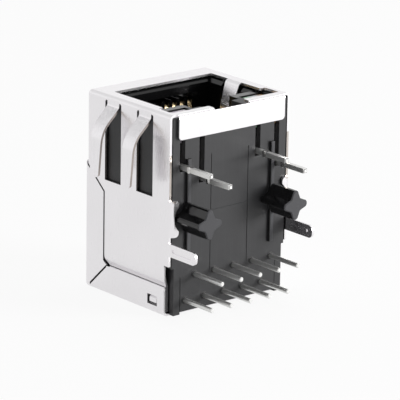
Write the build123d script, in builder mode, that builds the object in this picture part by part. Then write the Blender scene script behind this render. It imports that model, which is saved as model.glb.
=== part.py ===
from build123d import *

from math import cos, radians
import os

# A shielded network jack with two lights, made for a circuit board and stood on its rear wall.
# X runs across the port, Y from the circuit board's side to the cover, Z out of the port.
# Y = 0 is the moulded face on the board's side. Z = 0 is the outside of the rear wall.

# Outer size of the shielded body
jack_width = 15.8
jack_depth = 21.25
cover_y = 13.45
half_width = jack_width / 2

# Shield sheet, with the outside radius of its folds and the gaps between two sheets
sheet = 0.25
fold = 0.45
fold_line = fold - sheet / 2
lap_gap = 0.03
side_lap_gap = 0.08
seam_gap = 0.2
mitre_gap = 0.28

# Board seat: the flaps and ribs stand this far below the moulded face
seat_drop = 0.35
flap_line_y = sheet / 2 - seat_drop

# Port frame, from its outer edges
frame_side = 1.45
frame_top = 2.65
frame_strip = 0.75
lamp_zone_step = 0.65
lamp_zone_y = 2.9
notch_half_width = 2.3
port_half_width = half_width - frame_side
port_top_y = cover_y - frame_top
port_flap_half_width = half_width - 0.9
port_flap_bottom = jack_depth - 2.63

# Seam between the two shields
seam_y = cover_y - 2.93
seam_bend_z = 11.03
seam_slope = 0.85
side_flap_height = 3.05
side_flap_y = 0.7
rear_cover_y = cover_y + sheet + lap_gap
tongue_top = jack_depth - 4.05
mitre_foot_y = rear_cover_y - 2 * fold

# Lower part of the front shield's side walls, stepped in behind the rear shield's flaps
step_top = side_flap_height + 0.95
step_bottom = side_flap_height + 0.2
step_bend = 1.2
wall_bottom = step_top + 0.3
tuck_x = half_width - sheet - side_lap_gap
tuck_end_z = 0.45
side_edge_y = 0.72
side_edge_z = 5.45

# Latch window in each side flap, and the barb behind it
latch_y = 2.53
latch_width = 1.55
latch_z = 1.36
latch_height = 1.03
latch_barb = 0.27

# Outer spring fingers and their windows
finger_root_z = jack_depth - 0.5
finger_window_width = 2.6
finger_window_corner = 0.14
finger_window_bottom = jack_depth - 9.0
finger_root_width = 1.95
finger_tip_width = 1.35
finger_tip_z = jack_depth - 7.95
finger_bend_drop = 0.3
finger_angle = 46
finger_end_angle = 3
cover_finger_angle = 40
side_finger_ys = (3.98, 9.12)
cover_finger_x = 3.6
cover_finger_tip_z = jack_depth - 6.2
cover_window_bottom = jack_depth - 6.5
tongue_notch_margin = 0.2
tongue_notch_bottom = cover_window_bottom - tongue_notch_margin

# Springs inside the port that touch the plug's shield
plug_spring_y = 6.97
plug_spring_root = 2.2
plug_spring_tip = 1.4

# Pegs that locate the jack on its circuit board
peg_spacing = 11.43
peg_z = 10.43
peg_length = 3.85
peg_point_radius = 1.55
peg_valley = 0.64
peg_point_width = 0.55
peg_flap_bottom = 8.57
peg_flap_top = 12.37
peg_flap_reach = 1.0
peg_clearance_radius = 1.75

# Ground tabs
tab_z = 7.28
tab_width = 1.35
tab_length = 4.25
tab_corner = 0.55

# Moulded housing
housing_half_width = half_width - sheet - 0.15
housing_top_y = cover_y - sheet - 0.1
housing_front = jack_depth - sheet - 0.2
housing_back = 9.0
housing_foot_z = 5.15
board_wall = 1.25
rib_x = 5.55
rib_width = 0.5
rib_bottom = 5.75
rib_top = jack_depth - 4.75
mould_line = 0.08
mould_line_depth = 0.05
mould_line_x = 2.45
mould_line_z = 10.55

# Plug cavity and latch channel
plug_half_width = 5.95
plug_bottom_y = 3.9
plug_top_y = port_top_y - 0.1
plug_floor_z = 9.9
latch_floor_y = 0.6
latch_half_width = 2.1
latch_pocket_half_width = 3.1
latch_lip = 2.0
latch_depth = 7.4
port_lead_in = 0.35

# Lights: clear lenses and their leads
lens_x = 5.15
lens_width = 3.0
lens_bottom_y = 0.65
lens_height = 2.3
lens_front = housing_front - 0.1
lens_length = 2.7
lens_corner = 0.25
lens_gap = 0.08
lead_size = 0.5
lead_pair_x = 4.98
lead_spacing = 2.54
lead_y = 1.0
lead_high_z = jack_depth - 5.55
lead_row_spacing = 1.524
lead_tip_y = -4.57
lead_bend = 0.3
lead_tip_corner = 0.12
groove_width = 0.68
groove_depth = lead_y + lead_size / 2 + 0.1
groove_foot = 0.25

# Plug contacts and their carrier
contact_count = 8
contact_pitch = 1.02
contact_width = 0.46
contact_thickness = 0.3
contact_run_y = port_top_y + 1.62
contact_loop = 0.75
contact_angle = 28
contact_tail_y = port_top_y + 0.2
contact_side_wall = 0.72
carrier_half_width = contact_count * contact_pitch / 2 + contact_side_wall - contact_width / 2 - 0.04
carrier_bottom_y = port_top_y - 0.05
carrier_top_y = housing_top_y - 0.1
carrier_front = jack_depth - 2.05
carrier_back = housing_back + 0.1
carrier_gap = 0.05
comb_gap = 0.4
comb_tip_corner = 0.14
contact_front_z = carrier_front - 0.25 - contact_loop - contact_thickness / 2
contact_end_z = plug_floor_z + 1.26
contact_leg = (contact_front_z + contact_loop / 2 - contact_end_z) / cos(radians(contact_angle))
slot_width = contact_width + 0.1
slot_floor_y = contact_run_y - contact_thickness / 2 - 0.03
comb_root_z = carrier_front - 1.9

# Inner circuit board
inner_board_thickness = 0.6
inner_board_y = contact_run_y - contact_thickness / 2 - 0.02 - inner_board_thickness
inner_board_half_width = half_width - 0.95
inner_board_bottom = 0.9
inner_board_top = housing_back - 0.1
tail_rows = (inner_board_top - 1.0, inner_board_top - 2.2)
tail_hole_radius = 0.38

# Magnetics case behind the plug cavity
case_half_width = tuck_x - sheet - 0.12
case_rim_y = inner_board_y - 0.02
case_wall = 0.7
case_floor_y = 2.6
case_bottom = sheet + 0.13
case_top = housing_back - 0.05
corner_foot_x = 6.35
corner_foot_depth = 0.6
corner_foot_bottom = 0.12
corner_foot_top = 4.1

# Signal pins, round with a square shank, in two staggered rows
pin_radius = 0.25
pin_pitch = 2.54
pin_row_low = 1.58
pin_row_high = pin_row_low + 2.54
pin_tip_y = -4.43
pin_post_y = 3.5
pin_shank = 0.54
pin_gap = 0.05
pin_tip_corner = 0.08

# Wound cores inside the case
core_count = 4
core_pitch = 2 * (case_half_width - case_wall) / core_count - 0.05
ring_corners = 10
winding_thickness = 0.18
winding_gap = 0.02
winding_radius = core_pitch / 2 - 0.06
core_radius = winding_radius - winding_thickness - winding_gap
core_bore_radius = core_radius / 2
core_thickness = 1.3
core_z = pin_row_high + pin_shank / 2 + 0.2 + winding_radius
choke_y = case_floor_y + core_thickness / 2 + winding_thickness + 2 * winding_gap
transformer_y = choke_y + core_thickness + 2 * winding_thickness + 3 * winding_gap

# Parts under the inner board
resistor_count = 4
resistor_pitch = inner_board_half_width / 2.7
resistor_width = 0.8
resistor_length = 1.6
resistor_height = 0.45
resistor_rise = 4.3
resistor_z = inner_board_bottom + resistor_rise
capacitor_width = 3.2
capacitor_length = 1.6
capacitor_height = 1.2
capacitor_corner = 0.15
capacitor_rise = 1.7
capacitor_z = inner_board_bottom + capacitor_rise


os.makedirs("parts", exist_ok=True)


# Inside of the formed front shield
with BuildPart() as front_core:
    with BuildSketch(Plane.XY.offset(step_top - 1)):
        with Locations((0, -2)):
            Rectangle(jack_width - 2 * sheet, cover_y - sheet + 2, align=(Align.CENTER, Align.MIN))
    extrude(amount=jack_depth - sheet - step_top + 1)
    core_rim = front_core.faces().sort_by(Axis.Z)[-1].edges().sort_by(Axis.Y)[1:]
    core_sides = front_core.edges().filter_by(Axis.Z).sort_by(Axis.Y)[-2:]
    fillet(core_rim + core_sides, radius=fold - sheet)

# Outer spring finger of the left wall, drawn at Y = 0
with BuildPart() as side_finger:
    with BuildSketch(Plane.XZ):
        with BuildLine():
            wall_x = sheet / 2 - half_width
            root = Line((wall_x, finger_root_z + 0.2), (wall_x, finger_root_z - finger_bend_drop))
            bend_out = JernArc(root @ 1, root % 1, radius=0.5, arc_size=-finger_angle)
            ramp = PolarLine(bend_out @ 1, length=1.6, direction=bend_out % 1)
            bow = JernArc(ramp @ 1, ramp % 1, radius=3.2, arc_size=finger_angle - finger_end_angle)
            PolarLine(bow @ 1, length=4.5, direction=bow % 1)
        trace(line_width=sheet)
    extrude(amount=finger_root_width / 2, both=True)
    with BuildSketch(Plane.YZ) as finger_outline:
        with BuildLine():
            Polyline(
                (-finger_root_width / 2, finger_root_z + 0.2),
                (finger_root_width / 2, finger_root_z + 0.2),
                (finger_tip_width / 2, finger_tip_z),
                (-finger_tip_width / 2, finger_tip_z),
                close=True,
            )
        make_face()
        fillet(finger_outline.vertices().sort_by(Axis.Y)[:2], radius=0.45)
    extrude(amount=2 * jack_width, both=True, mode=Mode.INTERSECT)

# Shorter spring finger of the cover wall, drawn at X = 0
with BuildPart() as cover_finger:
    with BuildSketch(Plane.YZ):
        with BuildLine():
            wall_y = cover_y - sheet / 2
            root = Line((wall_y, finger_root_z + 0.2), (wall_y, finger_root_z - finger_bend_drop))
            bend_out = JernArc(root @ 1, root % 1, radius=0.5, arc_size=cover_finger_angle)
            ramp = PolarLine(bend_out @ 1, length=0.8, direction=bend_out % 1)
            bow = JernArc(ramp @ 1, ramp % 1, radius=2.9, arc_size=finger_end_angle - cover_finger_angle)
            PolarLine(bow @ 1, length=4.5, direction=bow % 1)
        trace(line_width=sheet)
    extrude(amount=finger_root_width / 2, both=True)
    with BuildSketch(Plane.XZ) as finger_outline:
        with BuildLine():
            Polyline(
                (-finger_root_width / 2, finger_root_z + 0.2),
                (finger_root_width / 2, finger_root_z + 0.2),
                (finger_tip_width / 2, cover_finger_tip_z),
                (-finger_tip_width / 2, cover_finger_tip_z),
                close=True,
            )
        make_face()
        fillet(finger_outline.vertices().sort_by(Axis.Y)[:2], radius=0.45)
    extrude(amount=2 * jack_width, both=True, mode=Mode.INTERSECT)

# Spring inside the port, folded down from the left edge of the frame
with BuildPart() as plug_spring:
    with BuildSketch(Plane.XZ):
        with BuildLine():
            frame_line_z = jack_depth - sheet / 2
            hold = Line((-port_half_width - 0.6, frame_line_z), (-port_half_width - 0.1, frame_line_z))
            turn = JernArc(hold @ 1, hold % 1, radius=0.4, arc_size=-72)
            reach = PolarLine(turn @ 1, length=2.3, direction=turn % 1)
            crest = JernArc(reach @ 1, reach % 1, radius=1.5, arc_size=-36)
            PolarLine(crest @ 1, length=1.0, direction=crest % 1)
        trace(line_width=sheet)
    extrude(amount=plug_spring_root / 2, both=True)
    with BuildSketch(Plane.YZ):
        with BuildLine():
            Polyline(
                (-plug_spring_root / 2, jack_depth),
                (plug_spring_root / 2, jack_depth),
                (plug_spring_tip / 2, jack_depth - 5.5),
                (-plug_spring_tip / 2, jack_depth - 5.5),
                close=True,
            )
        make_face()
    extrude(amount=2 * jack_width, both=True, mode=Mode.INTERSECT)

# Details of the front shield's left side, mirrored later
with BuildPart() as left_details:
    # Lower wall, stepped in to lie behind the rear shield's flap
    with BuildSketch(Plane.XZ.offset(-side_edge_y)):
        with BuildLine():
            FilletPolyline(
                (sheet / 2 - half_width, wall_bottom + 0.1),
                (sheet / 2 - half_width, step_top),
                (sheet / 2 - tuck_x, step_bottom),
                (sheet / 2 - tuck_x, tuck_end_z),
                radius=step_bend,
            )
        trace(line_width=sheet)
    extrude(amount=-(seam_y - seam_gap / 2 - side_edge_y))
    # The tucked wall ends short of the mitre, along the slanted end of the flap
    with BuildSketch(Plane.YZ):
        with BuildLine():
            Polyline(
                (seam_y + 1, side_flap_height + 0.6),
                (seam_y - seam_gap / 2, side_flap_height + 0.6),
                (seam_y - seam_gap / 2 - 0.98, side_flap_height - 0.3),
                (seam_y - seam_gap / 2 - 0.98, -1),
                (seam_y + 1, -1),
                close=True,
            )
        make_face()
    extrude(amount=2 * jack_width, both=True, mode=Mode.SUBTRACT)
    # Barb: a tongue cut free on three sides and pushed out into the latch window
    with BuildSketch(Plane.YZ):
        with Locations((latch_y, latch_z + latch_height / 2 - 0.05)):
            Rectangle(latch_width - 0.1, latch_height - 0.1, align=(Align.CENTER, Align.MAX))
    extrude(amount=-jack_width, mode=Mode.SUBTRACT)
    with BuildSketch(Plane.XZ.offset(-(latch_y - latch_width / 2 + 0.12))):
        with BuildLine():
            Polyline(
                (sheet / 2 - tuck_x, latch_z + latch_height / 2),
                (sheet / 2 - tuck_x, latch_z + latch_height / 2 - 0.1),
                (sheet / 2 - tuck_x - latch_barb, latch_z + latch_height / 2 - 0.35),
                (sheet / 2 - tuck_x - latch_barb, latch_z - latch_height / 2 + 0.28),
            )
        trace(line_width=sheet)
    extrude(amount=-(latch_width - 0.42))
    # Small flap folded under the moulding beside the peg
    with BuildSketch(Plane.XY.offset(peg_flap_bottom)):
        with BuildLine():
            FilletPolyline(
                (sheet / 2 - half_width, 0.9),
                (sheet / 2 - half_width, flap_line_y),
                (peg_flap_reach - half_width, flap_line_y),
                radius=fold_line,
            )
        trace(line_width=sheet)
    extrude(amount=peg_flap_top - peg_flap_bottom)
    flap_corners = left_details.edges().filter_by(Axis.Y)
    flap_corners = flap_corners.filter_by_position(
        Axis.X, peg_flap_reach - half_width - 0.01, peg_flap_reach - half_width + 0.01
    )
    fillet(flap_corners, radius=0.4)
    with BuildSketch(Plane.XZ):
        with Locations((-peg_spacing / 2, peg_z)):
            Circle(peg_clearance_radius)
    extrude(amount=1, both=True, mode=Mode.SUBTRACT)
    # Ground tab with a pressed bead along it
    with BuildSketch(Plane.YZ.offset(-half_width)) as tab_outline:
        with Locations((-tab_length, tab_z)):
            Rectangle(tab_length + 0.5, tab_width, align=(Align.MIN, Align.CENTER))
        fillet(tab_outline.vertices().sort_by(Axis.X)[:2], radius=tab_corner)
    extrude(amount=sheet)
    with BuildSketch(Plane.YZ.offset(-half_width)) as bead_outline:
        with Locations((-tab_length / 2 + 0.1, tab_z)):
            Rectangle(tab_length - 1.2, 0.42)
        chamfer(bead_outline.vertices(), length=0.14)
    extrude(amount=0.1, mode=Mode.SUBTRACT)
    with BuildSketch(Plane.YZ.offset(sheet - half_width)) as bead_outline:
        with Locations((-tab_length / 2 + 0.1, tab_z)):
            Rectangle(tab_length - 1.3, 0.32)
        chamfer(bead_outline.vertices(), length=0.1)
    extrude(amount=0.1)
    # Fingers and the spring inside the port
    for finger_y in side_finger_ys:
        with Locations((0, finger_y, 0)):
            add(side_finger.part)
    with Locations((0, plug_spring_y, 0)):
        add(plug_spring.part)

# Front shield, one folded sheet
with BuildPart() as front_shield:
    with BuildSketch(Plane.XY.offset(wall_bottom)):
        Rectangle(jack_width, cover_y, align=(Align.CENTER, Align.MIN))
    extrude(amount=jack_depth - wall_bottom)
    frame_rim = front_shield.faces().sort_by(Axis.Z)[-1].edges().sort_by(Axis.Y)[1:]
    cover_edges = front_shield.edges().filter_by(Axis.Z).sort_by(Axis.Y)[-2:]
    fillet(frame_rim + cover_edges, radius=fold)
    add(front_core.part, mode=Mode.SUBTRACT)
    # Flap folded down from the frame on the board's side
    with BuildSketch(Plane.XY.offset(jack_depth)):
        Rectangle(2 * port_flap_half_width, frame_strip / 2, align=(Align.CENTER, Align.MIN))
    extrude(amount=-2 * sheet, mode=Mode.SUBTRACT)
    with BuildSketch(Plane.YZ):
        with BuildLine():
            FilletPolyline(
                (frame_strip, jack_depth - sheet / 2),
                (flap_line_y, jack_depth - sheet / 2),
                (flap_line_y, port_flap_bottom),
                radius=fold_line,
            )
        trace(line_width=sheet)
    extrude(amount=port_flap_half_width, both=True)
    flap_foot = front_shield.edges().filter_by(Axis.Y)
    flap_foot = flap_foot.filter_by_position(Axis.Z, port_flap_bottom - 0.01, port_flap_bottom + 0.01)
    fillet(flap_foot, radius=0.4)
    # Port opening, wider beside the lights, with the plug latch's notch
    with BuildSketch(Plane.XY.offset(jack_depth)) as port_outline:
        with Locations((0, lamp_zone_y)):
            Rectangle(2 * port_half_width, port_top_y - lamp_zone_y, align=(Align.CENTER, Align.MIN))
        with Locations((0, frame_strip)):
            Rectangle(
                2 * (port_half_width + lamp_zone_step),
                lamp_zone_y - frame_strip,
                align=(Align.CENTER, Align.MIN),
            )
        with Locations((0, -seat_drop - 1)):
            Rectangle(2 * notch_half_width, frame_strip + seat_drop + 1, align=(Align.CENTER, Align.MIN))
        fillet(port_outline.vertices().filter_by_position(Axis.Y, 0, cover_y), radius=0.2)
    extrude(amount=-sheet - 0.02, mode=Mode.SUBTRACT)
    # Windows around the fingers
    with BuildSketch(Plane.YZ) as windows:
        for finger_y in side_finger_ys:
            with Locations((finger_y, finger_window_bottom)):
                Rectangle(
                    finger_window_width,
                    finger_root_z - finger_window_bottom,
                    align=(Align.CENTER, Align.MIN),
                )
        chamfer(windows.vertices().sort_by(Axis.Y)[-4:], length=finger_window_corner)
    extrude(amount=jack_width, both=True, mode=Mode.SUBTRACT)
    with BuildSketch(Plane.XZ.offset(-cover_y)) as windows:
        with Locations((-cover_finger_x, cover_window_bottom), (cover_finger_x, cover_window_bottom)):
            Rectangle(
                finger_window_width,
                finger_root_z - cover_window_bottom,
                align=(Align.CENTER, Align.MIN),
            )
        chamfer(windows.vertices().sort_by(Axis.Y)[-4:], length=finger_window_corner)
    extrude(amount=2 * sheet, both=True, mode=Mode.SUBTRACT)
    # Side walls and cover wall end along the seam
    with BuildSketch(Plane.YZ):
        with BuildLine():
            Polyline(
                (seam_y - seam_gap / 2, -1),
                (seam_y - seam_gap / 2, seam_bend_z),
                (cover_y + 1, seam_bend_z + seam_slope * (cover_y + 1 - seam_y + seam_gap / 2)),
                (cover_y + 1, -1),
                close=True,
            )
        make_face()
    extrude(amount=jack_width, both=True, mode=Mode.SUBTRACT)
    # Board edge of the side walls is set back near the signal pins
    with BuildSketch(Plane.YZ):
        with Locations((side_edge_y, side_edge_z)):
            Rectangle(side_edge_y + 1, side_edge_z, align=(Align.MAX, Align.MAX))
    extrude(amount=jack_width, both=True, mode=Mode.SUBTRACT)
    add(left_details.part)
    mirror(left_details.part, about=Plane.YZ)
    with Locations((-cover_finger_x, 0, 0), (cover_finger_x, 0, 0)):
        add(cover_finger.part)
front_shield.part.label = "front_shield"
export_step(front_shield.part, "parts/front_shield.step")

# Inside of the formed rear shield
with BuildPart() as rear_core:
    with BuildSketch(Plane.XY.offset(sheet)):
        with Locations((0, -2)):
            Rectangle(jack_width - 2 * sheet, rear_cover_y - sheet + 2, align=(Align.CENTER, Align.MIN))
    extrude(amount=jack_depth)
    core_rim = rear_core.faces().sort_by(Axis.Z)[0].edges().sort_by(Axis.Y)[1:]
    core_sides = rear_core.edges().filter_by(Axis.Z).sort_by(Axis.Y)[-2:]
    fillet(core_rim + core_sides, radius=fold - sheet)

# Material that the rear shield's side walls lose: all above the flap, and a mitred slot at the fold
with BuildPart() as rear_side_cut:
    with BuildSketch(Plane.YZ.offset(half_width - fold)):
        with BuildLine():
            Polyline(
                (-1, side_flap_height),
                (seam_y - 0.45, side_flap_height),
                (seam_y + seam_gap / 2, side_flap_height + 0.5),
                (seam_y + seam_gap / 2, seam_bend_z - seam_gap / 2),
                (cover_y + 1, seam_bend_z - seam_gap / 2 + seam_slope * (cover_y + 1 - seam_y - seam_gap / 2)),
                (cover_y + 1, jack_depth),
                (-1, jack_depth),
                close=True,
            )
        make_face()
        with BuildLine():
            Polyline(
                (seam_y - 0.45, side_flap_height - mitre_gap / 2),
                (seam_y - 0.45, side_flap_height + mitre_gap / 2),
                (mitre_foot_y, fold + mitre_gap / 2),
                (mitre_foot_y, fold - mitre_gap / 2),
                close=True,
            )
        make_face()
        with Locations((latch_y, latch_z)):
            Rectangle(latch_width, latch_height)
    extrude(amount=fold + 1)

# Rear shield, one folded sheet: rear wall, rear part of the cover wall, flanges and flaps
with BuildPart() as rear_shield:
    with BuildSketch(Plane.XY):
        with Locations((0, side_flap_y)):
            Rectangle(jack_width, rear_cover_y - side_flap_y, align=(Align.CENTER, Align.MIN))
    extrude(amount=tongue_top)
    rear_rim = rear_shield.faces().sort_by(Axis.Z)[0].edges().sort_by(Axis.Y)[1:]
    rear_edges = rear_shield.edges().filter_by(Axis.Z).sort_by(Axis.Y)[-2:]
    fillet(rear_rim + rear_edges, radius=fold)
    add(rear_core.part, mode=Mode.SUBTRACT)
    add(rear_side_cut.part, mode=Mode.SUBTRACT)
    mirror(rear_side_cut.part, about=Plane.YZ, mode=Mode.SUBTRACT)
    # The tongue over the front shield is notched round the cover's fingers
    with BuildSketch(Plane.XZ.offset(-rear_cover_y)):
        with Locations((-cover_finger_x, tongue_notch_bottom), (cover_finger_x, tongue_notch_bottom)):
            Rectangle(
                finger_window_width + 2 * tongue_notch_margin,
                tongue_top,
                align=(Align.CENTER, Align.MIN),
            )
    extrude(amount=sheet, both=True, mode=Mode.SUBTRACT)
rear_shield.part.label = "rear_shield"
export_step(rear_shield.part, "parts/rear_shield.step")

# One locating peg on the left, a four-pointed star in section with a blunt end
with BuildPart() as left_peg:
    with BuildSketch(Plane((-peg_spacing / 2, 0, peg_z), x_dir=(1, 0, 0), z_dir=(0, -1, 0))) as star:
        with BuildLine():
            half_point = peg_point_width / 2
            Polyline(
                (peg_point_radius, -half_point),
                (peg_point_radius, half_point),
                (peg_valley, peg_valley),
                (half_point, peg_point_radius),
                (-half_point, peg_point_radius),
                (-peg_valley, peg_valley),
                (-peg_point_radius, half_point),
                (-peg_point_radius, -half_point),
                (-peg_valley, -peg_valley),
                (-half_point, -peg_point_radius),
                (half_point, -peg_point_radius),
                (peg_valley, -peg_valley),
                close=True,
            )
        make_face()
        corners = star.vertices().sort_by(lambda corner: corner.X**2 + corner.Y**2)
        chamfer(corners[4:], length=0.13)
        corners = star.vertices().sort_by(lambda corner: corner.X**2 + corner.Y**2)
        fillet(corners[:4], radius=0.35)
    extrude(amount=peg_length)
    chamfer(left_peg.faces().sort_by(Axis.Y)[0].edges(), length=0.1)

# Positions of the signal pins, five in each row, one row half a pitch across from the other
pin_places = []
for number in range(5):
    pin_places.append(((number - 2.25) * pin_pitch, pin_row_low))
    pin_places.append(((number - 1.75) * pin_pitch, pin_row_high))

# Front housing, one moulding: plug cavity, latch channel, light pockets, board wall and pegs
with BuildPart() as front_housing:
    with BuildSketch(Plane.XY.offset(housing_back)):
        Rectangle(2 * housing_half_width, housing_top_y, align=(Align.CENTER, Align.MIN))
    extrude(amount=housing_front - housing_back)
    with BuildSketch(Plane.XY.offset(housing_foot_z)):
        Rectangle(2 * housing_half_width, board_wall, align=(Align.CENTER, Align.MIN))
    extrude(amount=housing_back - housing_foot_z)
    # Narrower foot of the board wall, with a square hole for each signal pin and a leg at each corner
    with BuildSketch(Plane.XY.offset(case_bottom)):
        Rectangle(2 * case_half_width, board_wall, align=(Align.CENTER, Align.MIN))
    extrude(amount=housing_foot_z - case_bottom)
    with BuildSketch(Plane.XZ):
        with Locations(*pin_places):
            Rectangle(pin_shank + 2 * pin_gap, pin_shank + 2 * pin_gap)
    extrude(amount=-board_wall, mode=Mode.SUBTRACT)
    corner_foot_width = case_half_width - corner_foot_x
    corner_foot_center = corner_foot_x + corner_foot_width / 2
    with BuildSketch(Plane.XY.offset(corner_foot_bottom)):
        with Locations((-corner_foot_center, 0), (corner_foot_center, 0)):
            Rectangle(corner_foot_width, corner_foot_depth, align=(Align.CENTER, Align.MIN))
    extrude(amount=case_bottom - corner_foot_bottom)
    # Room for the contact carrier, open to the cover and to the rear
    with BuildSketch(Plane.XY.offset(housing_back)):
        with Locations((0, port_top_y - 0.1)):
            Rectangle(
                2 * (carrier_half_width + carrier_gap),
                housing_top_y - port_top_y + 0.1,
                align=(Align.CENTER, Align.MIN),
            )
    extrude(amount=carrier_front + comb_gap - housing_back, mode=Mode.SUBTRACT)
    # Plug cavity with its lead-in
    with BuildSketch(Plane.XY.offset(housing_front)):
        with Locations((0, plug_bottom_y)):
            Rectangle(
                2 * plug_half_width,
                plug_top_y - plug_bottom_y,
                align=(Align.CENTER, Align.MIN),
            )
    extrude(amount=plug_floor_z - housing_front, mode=Mode.SUBTRACT)
    # Latch channel: a notch in front, a wider pocket behind its two catches
    with BuildSketch(Plane.XY.offset(housing_front)):
        with Locations((0, latch_floor_y + 1.75)):
            Rectangle(
                2 * latch_pocket_half_width,
                plug_bottom_y - latch_floor_y - 1.75,
                align=(Align.CENTER, Align.MIN),
            )
        with Locations((0, -1)):
            Rectangle(2 * latch_half_width, latch_floor_y + 3, align=(Align.CENTER, Align.MIN))
    extrude(amount=-latch_lip, mode=Mode.SUBTRACT)
    with BuildSketch(Plane.XY.offset(housing_front - latch_lip)):
        with Locations((0, latch_floor_y)):
            Rectangle(
                2 * latch_pocket_half_width,
                plug_bottom_y - latch_floor_y,
                align=(Align.CENTER, Align.MIN),
            )
    extrude(amount=latch_lip - latch_depth, mode=Mode.SUBTRACT)
    lead_in = front_housing.faces().sort_by(Axis.Z)[-1].edges().filter_by_position(Axis.Y, 4, 12)
    lead_in = lead_in.filter_by_position(Axis.X, -plug_half_width, plug_half_width)
    chamfer(lead_in.filter_by(GeomType.LINE), length=port_lead_in)
    # Recesses beside the cavity for the shield's springs
    with BuildSketch(Plane.XY.offset(housing_front)):
        with Locations((0, plug_spring_y)):
            Rectangle(2 * (plug_half_width + 0.8), plug_spring_root + 0.9)
    extrude(amount=-4.7, mode=Mode.SUBTRACT)
    # Light pockets, and the grooves that their leads lie in
    with BuildSketch(Plane.XY.offset(housing_front)):
        with Locations((-lens_x, lens_bottom_y - 0.05), (lens_x, lens_bottom_y - 0.05)):
            Rectangle(
                lens_width + 2 * lens_gap,
                lens_height + 0.1,
                align=(Align.CENTER, Align.MIN),
            )
    extrude(amount=lens_front - lens_length - 1.0 - housing_front, mode=Mode.SUBTRACT)
    for side in (-1, 1):
        for lead in (-1, 1):
            groove_x = side * lead_pair_x + lead * lead_spacing / 2
            groove_end = lead_high_z - lead_row_spacing * (lead + 1) / 2 - lead_size / 2 - groove_foot
            with BuildSketch(Plane.XZ):
                with Locations((groove_x, groove_end)):
                    Rectangle(
                        groove_width,
                        housing_front - groove_end,
                        align=(Align.CENTER, Align.MIN),
                    )
            extrude(amount=-groove_depth, mode=Mode.SUBTRACT)
    # Fine lines left by the mould's inserts
    with BuildSketch(Plane.XZ):
        with Locations((-mould_line_x, corner_foot_top), (mould_line_x, corner_foot_top)):
            Rectangle(mould_line, rib_top - corner_foot_top, align=(Align.CENTER, Align.MIN))
        with Locations((0, mould_line_z)):
            Rectangle(2 * mould_line_x, mould_line)
        with Locations((-corner_foot_x, corner_foot_top), (corner_foot_x, corner_foot_top)):
            Rectangle(mould_line, corner_foot_top - case_bottom, align=(Align.CENTER, Align.MAX))
    extrude(amount=-mould_line_depth, mode=Mode.SUBTRACT)
    # Two ribs that carry the jack clear of its circuit board
    with BuildSketch(Plane.XZ):
        with Locations((-rib_x, (rib_bottom + rib_top) / 2), (rib_x, (rib_bottom + rib_top) / 2)):
            Rectangle(rib_width, rib_top - rib_bottom)
    extrude(amount=seat_drop)
    rib_tops = front_housing.faces().filter_by(Axis.Y).sort_by(Axis.Y)[:2]
    fillet(rib_tops.edges(), radius=0.12)
    add(left_peg.part)
    mirror(left_peg.part, about=Plane.YZ)
front_housing.part.label = "front_housing"
export_step(front_housing.part, "parts/front_housing.step")

# Contact carrier, a comb with one slot for each contact
with BuildPart() as contact_carrier:
    with BuildSketch(Plane.XY.offset(carrier_back)):
        with Locations((0, carrier_bottom_y)):
            Rectangle(
                2 * carrier_half_width,
                carrier_top_y - carrier_bottom_y,
                align=(Align.CENTER, Align.MIN),
            )
    extrude(amount=carrier_front - carrier_back)
    with BuildSketch(Plane.XY.offset(carrier_front)):
        with Locations((0, (carrier_bottom_y + carrier_top_y) / 2)):
            with GridLocations(contact_pitch, 1, contact_count, 1):
                Rectangle(slot_width, carrier_top_y - carrier_bottom_y + 0.2)
    extrude(amount=comb_root_z - carrier_front, mode=Mode.SUBTRACT)
    with BuildSketch(Plane.XY.offset(carrier_front)):
        with Locations((0, slot_floor_y + 1)):
            with GridLocations(contact_pitch, 1, contact_count, 1):
                Rectangle(slot_width, 2)
    extrude(amount=housing_back - carrier_front, mode=Mode.SUBTRACT)
    comb_faces = contact_carrier.faces().filter_by(Axis.Z).sort_by(Axis.Z)[-contact_count - 1:]
    tooth_tips = comb_faces.edges().filter_by(Axis.Y)
    inner_reach = carrier_half_width - 0.01
    tooth_tips = tooth_tips.filter_by_position(Axis.X, -inner_reach, inner_reach)
    chamfer(tooth_tips, length=comb_tip_corner)
contact_carrier.part.label = "contact_carrier"
export_step(contact_carrier.part, "parts/contact_carrier.step")

# Eight plug contacts: a run under the cover, a bend at the front and a slanted spring leg
for number in range(contact_count):
    contact_x = (number - (contact_count - 1) / 2) * contact_pitch
    tail_z = tail_rows[number % 2]
    with BuildPart() as contact:
        with BuildSketch(Plane.YZ.offset(contact_x)):
            with BuildLine():
                tail = Line((contact_tail_y, tail_z), (contact_run_y, tail_z))
                run = Line(tail @ 1, (contact_run_y, contact_front_z))
                loop = JernArc(run @ 1, run % 1, radius=contact_loop, arc_size=180 - contact_angle)
                slant = PolarLine(loop @ 1, length=contact_leg, direction=loop % 1)
                JernArc(slant @ 1, slant % 1, radius=contact_loop - 0.15, arc_size=-35)
            trace(line_width=contact_thickness)
        extrude(amount=contact_width / 2, both=True)
    contact.part.label = f"contact_{number + 1}"
    export_step(contact.part, f"parts/contact_{number + 1}.step")

# Inner circuit board with a hole for each contact's tail
with BuildPart() as circuit_board:
    with BuildSketch(Plane.XZ.offset(-inner_board_y)) as board_outline:
        with Locations((0, inner_board_bottom)):
            Rectangle(
                2 * inner_board_half_width,
                inner_board_top - inner_board_bottom,
                align=(Align.CENTER, Align.MIN),
            )
        for number in range(contact_count):
            hole_x = (number - (contact_count - 1) / 2) * contact_pitch
            with Locations((hole_x, tail_rows[number % 2])):
                RegularPolygon(tail_hole_radius, ring_corners, mode=Mode.SUBTRACT)
    extrude(amount=-inner_board_thickness)
circuit_board.part.label = "circuit_board"
export_step(circuit_board.part, "parts/circuit_board.step")

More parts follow.
